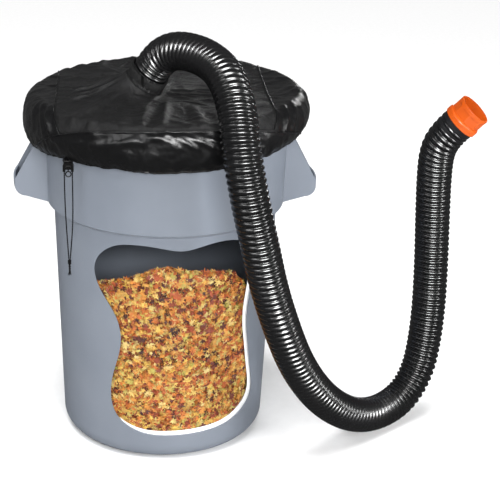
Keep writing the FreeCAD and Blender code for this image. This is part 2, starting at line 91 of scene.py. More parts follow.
def ramp(tree, fac, stops):
    made = node(tree, "ShaderNodeValToRGB", {"Fac": fac})
    bar = made.color_ramp
    while len(bar.elements) < len(stops):
        bar.elements.new(0.5)
    for element, (place, colour) in zip(bar.elements, stops):
        element.position = place
        element.color = (*colour, 1)
    return made.outputs["Color"]


def math_node(tree, how, a, b=0.0):
    return node(tree, "ShaderNodeMath", {0: a, 1: b}, operation=how).outputs[0]


def span(tree, value, low, high):
    return node(tree, "ShaderNodeMapRange", {"Value": value, "To Min": low, "To Max": high}).outputs[0]


def bump(tree, shader, height, strength, distance=0.001, below=None):
    made = node(tree, "ShaderNodeBump", {"Height": height, "Strength": strength, "Distance": distance})
    if below is not None:
        tree.links.new(below, made.inputs["Normal"])
    tree.links.new(made.outputs[0], shader.inputs["Normal"])
    return made.outputs[0]


def set_inputs(shader, **values):
    for key, value in values.items():
        shader.inputs[key.replace("_", " ")].default_value = value


def plastic(name, dark, light, rough, grain=900, grain_strength=0.12, **extra):
    """Moulded plastic, rubber or metal: slow colour drift, a fine grain and faint handling marks."""
    mat, tree, shader = new_material(name)
    at = coords(tree)
    drift = noise_tex(tree, at, 5)
    tree.links.new(ramp(tree, drift, [(0.3, dark), (0.7, light)]), shader.inputs["Base Color"])
    marks = noise_tex(tree, coords(tree, scale=(1, 1, 0.25)), 60, 6, 0.7)
    tree.links.new(span(tree, marks, rough - 0.06, rough + 0.08), shader.inputs["Roughness"])
    bump(tree, shader, noise_tex(tree, at, grain, 2), grain_strength, 0.0004)
    set_inputs(shader, **extra)
    return mat


def cloth(name, dark, light, rough, pitch, depth, weave="plain", **extra):
    """Woven fabric: two crossed thread waves along the piece's own UVs, in metres."""
    mat, tree, shader = new_material(name)
    uv = coords(tree, "UV")
    turns = TAU / pitch
    split = node(tree, "ShaderNodeSeparateXYZ", {"Vector": uv})
    u = math_node(tree, "MULTIPLY", split.outputs[0], turns)
    v = math_node(tree, "MULTIPLY", split.outputs[1], turns)
    wave_u, wave_v = math_node(tree, "SINE", u), math_node(tree, "SINE", v)
    if weave == "mesh":
        wave_u, wave_v = math_node(tree, "ABSOLUTE", wave_u), math_node(tree, "ABSOLUTE", wave_v)
        threads = math_node(tree, "SUBTRACT", 1.0, math_node(tree, "MINIMUM", wave_u, wave_v))
    else:
        threads = span(tree, math_node(tree, "MULTIPLY", wave_u, wave_v), 0.0, 1.0)
    fleck = noise_tex(tree, coords(tree), 260, 4, 0.7)
    cloudy = noise_tex(tree, coords(tree), 9, 4)
    mixed = math_node(tree, "MULTIPLY", math_node(tree, "ADD", fleck, cloudy), 0.5)
    streaks = noise_tex(tree, coords(tree, scale=(0.35, 1, 1)), 90, 5, 0.65)
    mixed = math_node(tree, "MULTIPLY", math_node(tree, "ADD", mixed, streaks), 0.5)
    tone = math_node(tree, "ADD", math_node(tree, "MULTIPLY", mixed, 0.75),
                     math_node(tree, "MULTIPLY", threads, 0.25))
    tree.links.new(ramp(tree, tone, [(0.35, dark), (0.7, light)]), shader.inputs["Base Color"])
    tree.links.new(span(tree, cloudy, rough - 0.07, rough + 0.07), shader.inputs["Roughness"])
    soft = bump(tree, shader, noise_tex(tree, coords(tree), 60, 4), 0.25, 0.004)
    bump(tree, shader, threads, depth, 0.0006, below=soft)
    set_inputs(shader, **extra)
    return mat


BIN = plastic("bin_plastic", (0.161, 0.182, 0.218), (0.184, 0.206, 0.243), 0.46, Specular_IOR_Level=0.35)
WHITE_EDGE = plastic("edge_white", (0.90, 0.90, 0.90), (0.96, 0.96, 0.96), 0.5)
HOSE = plastic("hose_plastic", (0.0022, 0.0022, 0.0025), (0.0044, 0.0044, 0.0048), 0.24, 500, 0.05,
               Specular_IOR_Level=0.70)
CUFF = plastic("cuff_plastic", (0.005, 0.005, 0.006), (0.010, 0.010, 0.011), 0.40, Specular_IOR_Level=0.4)
ORANGE = plastic("adapter_plastic", (0.46, 0.066, 0.004), (0.56, 0.090, 0.006), 0.32, 700, 0.08,
                 Specular_IOR_Level=0.32)
LOCK = plastic("lock_plastic", (0.002, 0.002, 0.002), (0.004, 0.004, 0.004), 0.30, Specular_IOR_Level=0.25)
SEAL = plastic("seal_rubber", (0.012, 0.012, 0.013), (0.02, 0.02, 0.02), 0.75)
METAL = plastic("eyelet_metal", (0.03, 0.03, 0.032), (0.06, 0.06, 0.065), 0.35, Metallic=0.9)
STEEL = plastic("spring_steel", (0.5, 0.5, 0.52), (0.66, 0.66, 0.68), 0.3, Metallic=1.0)
MESH = cloth("mesh_fabric", (0.0014, 0.0014, 0.0016), (0.0155, 0.0155, 0.0158), 0.41, 0.0026, 0.8, "mesh",
             Specular_IOR_Level=0.35)
SATIN = cloth("satin_fabric", (0.0024, 0.0024, 0.0027), (0.0050, 0.0050, 0.0054), 0.29, 0.0011, 0.15,
              Specular_IOR_Level=0.42)
WEBBING = cloth("webbing", (0.004, 0.004, 0.004), (0.022, 0.022, 0.0225), 0.55, 0.0022, 0.9,
                Specular_IOR_Level=0.35)
CORD = cloth("cord", (0.0015, 0.0015, 0.0015), (0.0045, 0.0045, 0.0045), 0.6, 0.0014, 0.9,
             Specular_IOR_Level=0.12)


# ---- meshes

def add_mesh(name, points, faces, material, smooth=True, uvs=None):
    mesh = bpy.data.meshes.new(name)
    mesh.from_pydata([tuple(p) for p in points], [], faces)
    mesh.polygons.foreach_set("use_smooth", [smooth] * len(mesh.polygons))
    if uvs is not None:
        layer = mesh.uv_layers.new(name="UVMap")
        for loop in mesh.loops:
            layer.data[loop.index].uv = uvs[loop.vertex_index]
    mesh.update()
    made = bpy.data.objects.new(name, mesh)
    bpy.context.scene.collection.objects.link(made)
    for mat in material if isinstance(material, list) else [material]:
        made.data.materials.append(mat)
    return made


def nurbs_line(points, resolution=24):
    """Points along the NURBS spline that has these control points."""
    curve = bpy.data.curves.new("route", "CURVE")
    curve.dimensions = "3D"
    curve.resolution_u = resolution
    spline = curve.splines.new("NURBS")
    spline.points.add(len(points) - 1)
    for point, at in zip(spline.points, points):
        point.co = (*at, 1)
    spline.order_u = 3
    spline.use_endpoint_u = True
    holder = bpy.data.objects.new("route", curve)
    mesh = bpy.data.meshes.new_from_object(holder)
    line = np.array([v.co for v in mesh.vertices], float)
    bpy.data.meshes.remove(mesh)
    bpy.data.objects.remove(holder)
    bpy.data.curves.remove(curve)
    return line


def resampled(line, step):
    """The line at even steps, with how far along each point is."""
    along = np.concatenate([[0], np.cumsum(np.linalg.norm(np.diff(line, axis=0), axis=1))])
    at = np.linspace(0, along[-1], int(along[-1] / step) + 1)
    return np.stack([np.interp(at, along, line[:, k]) for k in range(3)], 1), at


def frames_along(line):
    """Two unit vectors across the line at each point, turned as little as possible along it."""
    ahead = np.gradient(line, axis=0)
    ahead /= np.linalg.norm(ahead, axis=1)[:, None]
    side = np.cross(ahead[0], (0.2, 0.9, 0.1))
    sides, ups = [], []
    for t in ahead:
        side = side - t * (side @ t)
        side = side / np.linalg.norm(side)
        sides.append(side)
        ups.append(np.cross(t, side))
    return np.array(sides), np.array(ups)


def ring_faces(rings, around, closed=False, flip=False):
    """Quads between neighbouring rings of points. closed joins the last ring to the first."""
    faces = []
    for i in range(rings if closed else rings - 1):
        for j in range(around):
            k, n = (j + 1) % around, (i + 1) % rings
            quad = (i * around + j, i * around + k, n * around + k, n * around + j)
            faces.append((quad[0], *quad[:0:-1]) if flip else quad)
    return faces


def end_faces(rings, around):
    """The two ends of a tube of rings."""
    return [tuple(range(around))[::-1], tuple(range((rings - 1) * around, rings * around))]


def swept(name, line, radius_at, around, material, cap=False):
    """A tube along a line. radius_at gives the radius at (distance along, turn round in radians)."""
    points, along = line
    sides, ups = frames_along(points)
    turn = np.arange(around) * TAU / around
    rows, uvs = [], []
    for p, s, a, b in zip(points, along, sides, ups):
        r = np.array([radius_at(s, t) for t in turn])[:, None]
        rows.append(p + r * (np.cos(turn)[:, None] * a + np.sin(turn)[:, None] * b))
        uvs += [(s, t * 0.01) for t in turn]
    faces = ring_faces(len(points), around)
    if cap:
        faces += end_faces(len(points), around)
    return add_mesh(name, np.concatenate(rows), faces, material, uvs=uvs)


# ---- hose

HOSE_R = 0.045
RIDGE_PITCH = 0.0145
RIDGE_DEPTH = 0.0066
RIDGE_ROUNDNESS = 0.8
# Control points from the cover to the end cuff, in millimetres
HOSE_ROUTE = [
    (-61.7, -26.8, 901.8), (-30, -39, 960), (0, -72, 994), (36, -110, 1006), (84, -175, 1004),
    (120, -250, 985), (140, -326, 935), (148, -380, 850), (168, -394, 742), (197, -388, 625),
    (225, -372, 510), (262, -350, 400), (302, -320, 298), (355, -282, 206), (415, -230, 130),
    (485, -170, 70), (560, -108, 43), (630, -60, 60), (674, -36, 125), (690, -22, 210),
    (695, -14, 302), (694, -8, 396), (690, -4, 490), (684, -6, 582), (678, -14, 668),
    (676, -26, 738), (690, -41, 784), (713, -51, 812),
]


def hose_radius(s, turn):
    """Rounded spiral ridges with narrow grooves between them."""
    across_ridge = (s / RIDGE_PITCH + turn / TAU) % 1.0
    return HOSE_R - RIDGE_DEPTH * (1 - math.sin(math.pi * across_ridge) ** RIDGE_ROUNDNESS)


route = [Vector(p) / 1000 for p in HOSE_ROUTE]
hose_line = nurbs_line(route, 40)
hose = swept("corrugated_hose", resampled(hose_line, RIDGE_PITCH / 9), hose_radius, 48, HOSE)
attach(hose, "cover")
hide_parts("hose")


# ---- drawstring tails

LOCK_AT = Vector((-0.234, -0.2345, 0.7732))
CORD_R = 0.0015
CORD_SPREAD_MM = 9.2
CORD_TWIST = 0.0046
# How far a tail has come in towards the other one and down, in millimetres, and the right one's bow
TAIL_ROUTE = [(0, 0), (0, 60), (1.2, 118), (3.4, 170), (6.0, 212), (7.6, 243)]
RIGHT_BOW = [0, 0, 1.6, 2.2, 1.2, 0]
TAIL_TOP = 0.7774


def strand_radius(twist):
    """Radius of a two-ply cord. twist is -1 or 1, for the way it is laid."""
    return lambda s, t: CORD_R * (0.92 + 0.08 * math.cos(2 * t + twist * s * TAU / CORD_TWIST))


tails = []
for side, label in ((-1, "left"), (1, "right")):
    points = []
    for i, (inward, drop) in enumerate(TAIL_ROUTE):
        bow = RIGHT_BOW[i] if side > 0 else 0
        x = LOCK_AT.x + (side * (CORD_SPREAD_MM - inward) + bow) / 1000
        points.append((x, LOCK_AT.y - CORD_R, TAIL_TOP - drop / 1000))
    line = nurbs_line(points)
    tail = swept("string_tail_" + label, resampled(line, 0.0009), strand_radius(side), 12, CORD, cap=True)
    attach(tail, "cover")
    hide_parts("drawstring_tail_" + label)
    tails.append((tail, points, line))


# ---- cord lock's spring

SPRING_TURNS, SPRING_R, SPRING_WIRE_R = 3, 0.0016, 0.00022
SPRING_FRONT, SPRING_BACK = 0.00194, 0.00576


def make_spring():
    """The coil between the lock's button and cap, which shortens as the button is pressed."""
    turn = np.linspace(0, SPRING_TURNS * TAU, 24 * SPRING_TURNS + 1)
    middle_z = LOCK_AT.z - 0.010
    y = LOCK_AT.y + np.interp(turn, [0, turn[-1]], [SPRING_FRONT, SPRING_BACK])
    line = np.stack([LOCK_AT.x + SPRING_R * np.cos(turn), y, middle_z - SPRING_R * np.sin(turn)], 1)
    wire = swept("button_spring", resampled(line, 0.0004), lambda s, t: SPRING_WIRE_R, 10, STEEL, cap=True)
    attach(wire, "cord_lock")
    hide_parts("cord_lock_spring")
    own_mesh(wire)


make_spring()


# ---- cover
# The cut cloth is a disc. A point (x, y) of the flat disc is draped over the rim by its distance
# from the centre, drawn in at the hem, tented up to the hose, and then wrinkled.

LEAN = (route[1] - route[0]).normalized()
RING_AT = route[0] + LEAN * 0.0097
HOLE = np.array(RING_AT.xy)
HOLE_R = 0.0478
TOP_Z = 0.8785
CLOTH_T = 0.0011
SEAM_Y = 0.334
SEAM_BOW = 1.1
PANEL_LEFT, PANEL_RIGHT = -0.268, 0.242
SIDE_PROFILE = [
    (0.292, 0, 0.8785), (0.306, 0, 0.8790), (0.322, 0, 0.8780), (0.3370, 0, 0.8660), (0.3450, 0, 0.8440),
    (0.3480, 0, 0.8220), (0.3445, 0, 0.7980), (0.3370, 0, 0.7850), (0.3335, 0, 0.7800),
]
side_line, side_at = resampled(nurbs_line(SIDE_PROFILE), 0.001)
SIDE_START = SIDE_PROFILE[0][0]
HEM_S = SIDE_START + side_at[-1]
HEM_R = float(side_line[-1][0])

# How the drape changes over the disc, in metres
RIM_LIFT, RIGHT_LIFT, BACK_LIFT = 0.006, 0.0085, 0.004
LIFT_FROM, LIFT_OVER = 0.16, 0.15
RIGHT_TILT, LEFT_TILT, LEFT_TILT_X = 0.33, 0.14, -0.245
RING_CALM, HEM_CALM = 0.03, 0.02
RIM_S, RIM_REACH = 0.298, 0.012
GATHER_HIGH, GATHER_REACH = 0.0009, 0.045
TENT_REACH = 0.036
SWELL_HIGH, SWELL_REACH = 0.006, 0.14
WARP = 0.018
SLOW_HIGH, CREASE_HIGH, CRINKLE_HIGH, FINE_HIGH = 0.0026, 0.0019, 0.0009, 0.0003

# Folds on the flat disc: ends (x, y), half width and height, in metres
FOLDS = [
    # below the front seam
    (-0.200, -0.326, -0.060, -0.352, 0.008, 0.0052), (-0.150, -0.350, -0.085, -0.340, 0.006, 0.0030),
    (-0.075, -0.350, -0.010, -0.338, 0.005, 0.0030), (-0.060, -0.338, 0.020, -0.362, 0.007, 0.0050),
    (-0.020, -0.336, 0.060, -0.368, 0.006, 0.0048), (0.010, -0.340, 0.135, -0.366, 0.006, 0.0046),
    (0.050, -0.338, 0.150, -0.352, 0.005, 0.0040), (-0.030, -0.362, 0.030, -0.372, 0.007, 0.0028),
    (0.160, -0.316, 0.230, -0.298, 0.007, 0.0038), (0.170, -0.330, 0.240, -0.318, 0.007, 0.0030),
    (-0.235, -0.275, -0.150, -0.315, 0.007, 0.0032), (-0.250, -0.290, -0.190, -0.322, 0.006, 0.0028),
    # beside the panel's front corners
    (-0.276, -0.150, -0.296, -0.245, 0.007, 0.0062), (-0.290, -0.120, -0.318, -0.225, 0.007, 0.0040),
    (0.256, -0.150, 0.282, -0.245, 0.007, 0.0062), (0.275, -0.110, 0.312, -0.215, 0.008, 0.0040),
    (-0.300, 0.010, -0.360, -0.050, 0.010, 0.0030), (0.285, 0.010, 0.360, -0.040, 0.010, 0.0030),
    # the soft upright folds in front of the hose
    (-0.004, -0.120, -0.022, -0.300, 0.010, 0.0135), (-0.055, -0.170, -0.068, -0.300, 0.013, 0.0080),
    (-0.130, -0.100, -0.205, -0.225, 0.011, 0.0078), (-0.095, -0.085, -0.140, -0.270, 0.015, 0.0056),
    (0.050, -0.150, 0.070, -0.300, 0.013, 0.0080), (-0.190, -0.150, -0.225, -0.250, 0.010, 0.0048),
    # fanning out from the sleeve to the left
    (-0.112, -0.030, -0.235, -0.085, 0.006, 0.0056), (-0.112, -0.012, -0.245, -0.035, 0.006, 0.0063),
    (-0.112, 0.004, -0.240, 0.010, 0.006, 0.0063), (-0.108, 0.020, -0.230, 0.055, 0.006, 0.0059),
    (-0.100, 0.036, -0.205, 0.100, 0.007, 0.0059), (-0.088, 0.044, -0.160, 0.140, 0.007, 0.0056),
    (-0.150, -0.050, -0.255, -0.130, 0.007, 0.0052), (-0.165, 0.030, -0.285, 0.040, 0.007, 0.0052),
    # to the right of the hose
    (0.010, -0.020, 0.180, -0.050, 0.008, 0.0036), (0.020, 0.005, 0.210, 0.020, 0.009, 0.0036),
    (0.090, -0.070, 0.225, -0.120, 0.009, 0.0034), (0.120, 0.050, 0.232, 0.075, 0.009, 0.0036),
]
RANDOM_FOLDS, RANDOM_AT_BACK = 46, 26
for i in range(RANDOM_FOLDS):
    at_back = i < RANDOM_AT_BACK
    turn = random.uniform(0.12 * math.pi, 0.95 * math.pi) if at_back else random.uniform(0, TAU)
    s0 = random.uniform(0.20, 0.34)
    s1 = s0 + random.uniform(0.05, 0.11)
    turn1 = turn + random.uniform(-0.30, 0.30)
    FOLDS.append((s0 * math.cos(turn), s0 * math.sin(turn), s1 * math.cos(turn1), s1 * math.sin(turn1),
                  random.uniform(0.007, 0.013), random.uniform(0.0016, 0.0042)))


def fold_height(x, y):
    """Height of all the folds at points of the flat disc."""
    height = np.zeros_like(x)
    for x0, y0, x1, y1, width, tall in FOLDS:
        dx, dy = x1 - x0, y1 - y0
        long2 = dx * dx + dy * dy
        t = ((x - x0) * dx + (y - y0) * dy) / long2
        inside = np.clip(t, 0, 1)
        away = np.hypot(x - x0 - inside * dx, y - y0 - inside * dy)
        swell = 0.45 + 0.55 * np.sin(np.pi * inside)
        height += tall * swell * np.exp(-(away / width) ** 2)
    return height


def noise_at(a, b, scale, layer):
    return noise.noise(Vector((a * scale, b * scale, layer)))


def rough_height(x, y):
    """Slow swells, with sharp crinkles along the folds of a warped noise."""
    out = np.empty_like(x)
    for i, (a, b) in enumerate(zip(x, y)):
        warp_a = a + WARP * noise_at(a, b, 20, 4.4)
        warp_b = b + WARP * noise_at(a, b, 20, 9.9)
        crease = 1 - 2 * abs(noise_at(warp_a, warp_b, 24, 8.7))
        crinkle = 1 - 2 * abs(noise_at(warp_a, warp_b, 58, 1.3))
        out[i] = (SLOW_HIGH * noise_at(a, b, 9, 3.1) + CREASE_HIGH * crease + CRINKLE_HIGH * crinkle
                  + FINE_HIGH * noise_at(a, b, 120, 5.1))
    return out


def drape(x, y):
    """Points of the flat disc on the fitted cover: over the rim, wrinkled, and up to the hose."""
    s = np.hypot(x, y)
    turn = np.arctan2(y, x)
    over = np.clip(s - SIDE_START, 0, side_at[-1])
    r = np.where(s < SIDE_START, s, np.interp(over, side_at, side_line[:, 0]))
    z = np.where(s < SIDE_START, TOP_Z, np.interp(over, side_at, side_line[:, 2]))
    slope = np.gradient(side_line, side_at, axis=0)
    normal_r = np.where(s < SIDE_START, 0, -np.interp(over, side_at, slope[:, 2]))
    normal_z = np.where(s < SIDE_START, 1, np.interp(over, side_at, slope[:, 0]))
    cos, sin = np.cos(turn), np.sin(turn)
    down = np.clip((TOP_Z - z) / (TOP_Z - side_line[-1][2]), 0, 1)
    lift = np.clip(RIM_LIFT + RIGHT_LIFT * cos + BACK_LIFT * sin, 0, 1)
    lift = lift * np.clip((s - LIFT_FROM) / LIFT_OVER, 0, 1) ** 2
    px, py = r * cos, r * sin
    tilt = RIGHT_TILT * np.clip(px, 0, 1) ** 2 - LEFT_TILT * np.clip(LEFT_TILT_X - px, 0, 1)
    z = z + lift * (1 - down) + tilt * down ** 1.5
    away = np.hypot(x - HOLE[0], y - HOLE[1])
    calm = np.clip((away - HOLE_R) / RING_CALM, 0, 1)
    edge = np.clip((HEM_S - s) / HEM_CALM, 0, 1)
    near_rim = np.exp(-((s - RIM_S) / RIM_REACH) ** 2)
    bumps = fold_height(x, y) * (0.35 + 0.65 * edge) + rough_height(x, y) * (1 - 0.6 * near_rim)
    gather = np.clip(1 - (HEM_S - s) / GATHER_REACH, 0, 1) ** 1.5
    wave = GATHER_HIGH * np.sin(74 * turn + 3.0 * np.sin(5 * turn) + 2.4 * np.sin(11 * turn + 1))
    wave *= 0.65 + 0.35 * np.sin(7 * turn + 2)
    moved = bumps * calm + wave * gather
    px, py = px + moved * normal_r * cos, py + moved * normal_r * sin
    z = z + moved * normal_z
    across = (x - HOLE[0]) * LEAN.x + (y - HOLE[1]) * LEAN.y
    ring_z = RING_AT.z - across / LEAN.z
    tent = np.exp(-np.clip(away - HOLE_R, 0, 1) / TENT_REACH)
    squeeze = across * tent / (1 + LEAN.z)
    px, py = px - squeeze * LEAN.x, py - squeeze * LEAN.y
    swell = SWELL_HIGH * np.exp(-(away / SWELL_REACH) ** 2)
    z = z + (ring_z - TOP_Z) * tent + swell * (1 - tent)
    return np.stack([px, py, z], 1)


def cover_grid(columns, rows):
    """The flat disc with its hose hole, as rings of points round the hole."""
    points = []
    for j in range(rows + 1):
        t = j / rows
        for i in range(columns):
            turn = TAU * i / columns
            way = np.array((math.cos(turn), math.sin(turn)))
            points.append((HOLE + HOLE_R * way) * (1 - t) + HEM_S * way * t)
    return points, ring_faces(rows + 1, columns, flip=True)


def bowed(x, y):
    """From straight-seamed coordinates to the flat disc, whose front and back seams bow out in the middle."""
    bow = SEAM_BOW * x * x
    return y - bow * np.sign(y) if abs(y) > 0.1 + bow else y / (1 + 10 * bow)


def straightened(x, y):
    """The reverse of bowed."""
    return y + SEAM_BOW * x * x * np.clip(y / 0.1, -1, 1)


def make_cover():
    """The draped disc, cut along its seams into five cloths."""
    columns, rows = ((640, 88))
    points, faces = cover_grid(columns, rows)
    mesh = bpy.data.meshes.new("flat")
    mesh.from_pydata([(x, straightened(x, y), 0) for x, y in points], [], faces)
    work = bmesh.new()
    work.from_mesh(mesh)
    cuts = [((0, SEAM_Y), (0, 1)), ((0, -SEAM_Y), (0, 1)),
            ((PANEL_LEFT, 0), (1, 0)), ((PANEL_RIGHT, 0), (1, 0))]
    for at, across in cuts:
        everything = work.verts[:] + work.edges[:] + work.faces[:]
        bmesh.ops.bisect_plane(work, geom=everything, dist=1e-5, plane_co=(*at, 0), plane_no=(*across, 0))
    work.to_mesh(mesh)
    work.free()
    regions = {name: [] for name in ("front", "back", "left", "right", "panel")}
    for face in mesh.polygons:
        x, y, _ = face.center
        if abs(y) > SEAM_Y:
            where = "front" if y < 0 else "back"
        elif x < PANEL_LEFT or x > PANEL_RIGHT:
            where = "left" if x < 0 else "right"
        else:
            where = "panel"
        regions[where].append(face.index)
    for v in mesh.vertices:
        v.co.y = bowed(v.co.x, v.co.y)
    mesh.update()
    regions = {key: [(tuple(mesh.polygons[i].vertices), mesh.polygons[i].area) for i in found]
               for key, found in regions.items()}
    flat = np.array([v.co for v in mesh.vertices], float)
    shaped = drape(flat[:, 0], flat[:, 1])
    names = {
        "panel": ("cover_mesh_panel", "cover_top_panel", MESH, "mesh_fabric", (0.510, 0.668)),
        "left": ("cover_end_left", "cover_end_panel_left", SATIN, "satin_fabric", (0.160, 0.520)),
        "right": ("cover_end_right", "cover_end_panel_right", SATIN, "satin_fabric", (0.184, 0.540)),
        "front": ("cover_skirt_front_cloth", "cover_skirt_front", SATIN, "satin_fabric", (0.770, 0.260)),
        "back": ("cover_skirt_back_cloth", "cover_skirt_back", SATIN, "satin_fabric", (0.770, 0.260)),
    }
    made = {}
    for where, (name, cad, mat, slot, size) in names.items():
        used = sorted({i for face, _ in regions[where] for i in face})
        at = {old: new for new, old in enumerate(used)}
        piece_faces = [tuple(at[i] for i in face) for face, _ in regions[where]]
        piece = add_mesh(name, shaped[used], piece_faces, mat, uvs=[tuple(flat[i][:2]) for i in used])
        solid = piece.modifiers.new("thickness", "SOLIDIFY")
        solid.thickness = CLOTH_T
        solid.offset = -1
        solid.use_even_offset = False
        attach(piece, "cover")
        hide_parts(cad)
        made[where] = (piece, size, sum(area for _, area in regions[where]))
    bpy.data.meshes.remove(mesh)
    return made


cover = make_cover()

SEAM_STEP = 0.003
SEAM_REACH = 0.380
SEAM_R, SEAM_RAISED = 0.0019, 0.0008
STITCH_INSET = STITCH_PITCH = 0.0045
STITCH_R, STITCH_RAISED = 0.00042, 0.0001
STITCH_SIDES = 5
STITCH_PROFILE = ((0, 0.35), (0.25, 1), (0.75, 1), (1, 0.35))


def on_cover(points, raised):
    """Points of the flat disc on the draped cover, raised above it."""
    flat = np.array(points, float)
    at = drape(flat[:, 0], flat[:, 1])
    step = 0.0008
    dx = drape(flat[:, 0] + step, flat[:, 1]) - at
    dy = drape(flat[:, 0], flat[:, 1] + step) - at
    up = np.cross(dx, dy)
    return at + raised * up / np.linalg.norm(up, axis=1)[:, None]


def flat_run(a, b):
    """Points of the flat disc along a seam, given in straight-seamed coordinates."""
    count = int(math.dist(a, b) / SEAM_STEP) + 1
    line = [(a[0] + (b[0] - a[0]) * i / count, a[1] + (b[1] - a[1]) * i / count) for i in range(count + 1)]
    return [(x, bowed(x, y)) for x, y in line]


def make_seams():
    """Folded seam ridges along the joins of the cloth, with a row of stitches beside each."""
    runs = [
        ((-SEAM_REACH, -SEAM_Y), (SEAM_REACH, -SEAM_Y), (0, 1)),
        ((-SEAM_REACH, SEAM_Y), (SEAM_REACH, SEAM_Y), (0, -1)),
        ((PANEL_LEFT, -SEAM_Y), (PANEL_LEFT, SEAM_Y), (1, 0)),
        ((PANEL_RIGHT, -SEAM_Y), (PANEL_RIGHT, SEAM_Y), (-1, 0)),
    ]
    ridges, stitches = [], []
    for a, b, inward in runs:
        ridge = swept("seam_part", resampled(on_cover(flat_run(a, b), SEAM_RAISED), SEAM_STEP),
                      lambda s, t: SEAM_R, 10, SATIN, cap=True)
        ridges.append(ridge)
        a2, b2 = [(end[0] + STITCH_INSET * inward[0], end[1] + STITCH_INSET * inward[1]) for end in (a, b)]
        line, _ = resampled(on_cover(flat_run(a2, b2), STITCH_RAISED), STITCH_PITCH)
        for p, q in zip(line, line[1:]):
            stitches.append((p + (q - p) * 0.12, p + (q - p) * 0.82))
    return ridges, stitches


def joined(name, objects):
    """One object from several."""
    verts, faces, mats, uvs = [], [], [], []
    materials = []
    for o in objects:
        base = len(verts)
        verts += [v.co.copy() for v in o.data.vertices]
        layer = o.data.uv_layers.active
        corner_uv = {loop.vertex_index: tuple(layer.data[loop.index].uv) for loop in o.data.loops}
        uvs += [corner_uv[i] for i in range(len(o.data.vertices))]
        for m in o.data.materials:
            if m not in materials:
                materials.append(m)
        for p in o.data.polygons:
            faces.append(tuple(base + i for i in p.vertices))
            mats.append(materials.index(o.data.materials[p.material_index]))
        bpy.data.objects.remove(o)
    made = add_mesh(name, verts, faces, materials, uvs=uvs)
    made.data.polygons.foreach_set("material_index", mats)
    return made


def stitch_mesh(name, pairs):
    """Short raised threads between pairs of points."""
    verts, faces = [], []
    rings = len(STITCH_PROFILE)
    one = ring_faces(rings, STITCH_SIDES) + end_faces(rings, STITCH_SIDES)
    for a, b in pairs:
        ahead = (b - a) / max(np.linalg.norm(b - a), 1e-9)
        side = np.cross(ahead, (0.3, 0.2, 0.93))
        side /= max(np.linalg.norm(side), 1e-9)
        up = np.cross(side, ahead)
        base = len(verts)
        for t, r in STITCH_PROFILE:
            mid = a + (b - a) * t
            for k in range(STITCH_SIDES):
                turn = TAU * k / STITCH_SIDES
                verts.append(mid + STITCH_R * r * (math.cos(turn) * side + math.sin(turn) * up))
        faces += [tuple(base + k for k in face) for face in one]
    return add_mesh(name, verts, faces, CORD)


ridges, stitches = make_seams()
seams = joined("cover_seam_ridges", ridges)
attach(seams, "cover")
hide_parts("top_seam_piping")
threads = stitch_mesh("cover_stitching", stitches)
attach(threads, "cover")


HEM_TUBE_R = 0.0030
HEM_OVERLAP, HEM_RISE, HEM_DRAWN_IN = 0.0005, 0.0006, 0.9945


def hem_centre(turns):
    """The line that the hem's tunnel follows, along the cover's edge."""
    s = HEM_S - HEM_OVERLAP
    at = drape(s * np.cos(turns), s * np.sin(turns))
    at[:, 2] += HEM_RISE
    return at * (HEM_DRAWN_IN, HEM_DRAWN_IN, 1)


def hem_radius(turn, phi):
    """The hem's tunnel with its small gathers, deepest on the outside."""
    gathers = math.sin(148 * turn + 5 * math.sin(5 * turn)) * (0.5 + 0.5 * math.cos(phi))
    return HEM_TUBE_R * (1 + 0.05 * gathers)


def make_hem(columns):
    """The hem's tunnel with the drawstring in it: a closed tube round the bin."""
    around = 12
    verts, uvs = [], []
    turns = np.arange(columns) * TAU / columns
    for turn, centre in zip(turns, hem_centre(turns)):
        out = np.array((math.cos(turn), math.sin(turn), 0))
        for k in range(around):
            phi = TAU * k / around
            r = hem_radius(turn, phi)
            verts.append(centre + r * (math.cos(phi) * out + math.sin(phi) * np.array((0, 0, 1))))
            uvs.append((turn * HEM_R, phi * 0.005))
    faces = ring_faces(columns, around, closed=True, flip=True)
    return add_mesh("gathered_hem", verts, faces, SATIN, uvs=uvs)


hem = make_hem(900)
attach(hem, "cover")
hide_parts("hem_casing", "drawstring")


def make_tab():
    """The folded, stitched fabric tab that closes the hem's gap above the cord lock."""
    columns, rows = 28, 20
    half_x, half_y, half_z = 0.0118, 0.0092, 0.0014
    centre = Vector((LOCK_AT.x, LOCK_AT.y + 0.0005, TAIL_TOP - 0.0015))
    verts, faces = [], []
    for side in (1, -1):
        for j in range(rows + 1):
            for i in range(columns + 1):
                u, v = 2 * i / columns - 1, 2 * j / rows - 1
                edge = max(0.0, 1 - u ** 8) * max(0.0, 1 - v ** 8)
                quilt = 0.72 + 0.28 * min(1, abs(abs(u) - 0.82) / 0.08) * min(1, abs(abs(v) - 0.80) / 0.1)
                high = side * half_z * edge ** 0.5 * quilt
                wave = 0.0005 * noise.noise(Vector((u * 2.4, v * 2.4, 0.7)))
                corner = 1 - 0.06 * u * u * v * v
                verts.append(centre + Vector((u * half_x * corner, v * half_y * corner, high + wave)))
    across, layer = columns + 1, (columns + 1) * (rows + 1)
    for j in range(rows):
        for i in range(columns):
            quad = (j * across + i, j * across + i + 1, (j + 1) * across + i + 1, (j + 1) * across + i)
            faces.append(quad)
            faces.append(tuple(k + layer for k in quad[::-1]))
    tab = add_mesh("hem_tab_cloth", verts, faces, SATIN, uvs=[(v[0], v[1]) for v in verts])
    work = bmesh.new()
    work.from_mesh(tab.data)
    bmesh.ops.remove_doubles(work, verts=work.verts[:], dist=0.00001)
    work.to_mesh(tab.data)
    work.free()
    return tab


tab = make_tab()
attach(tab, "cover")
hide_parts("hem_tab")


# ---- sleeve and strap

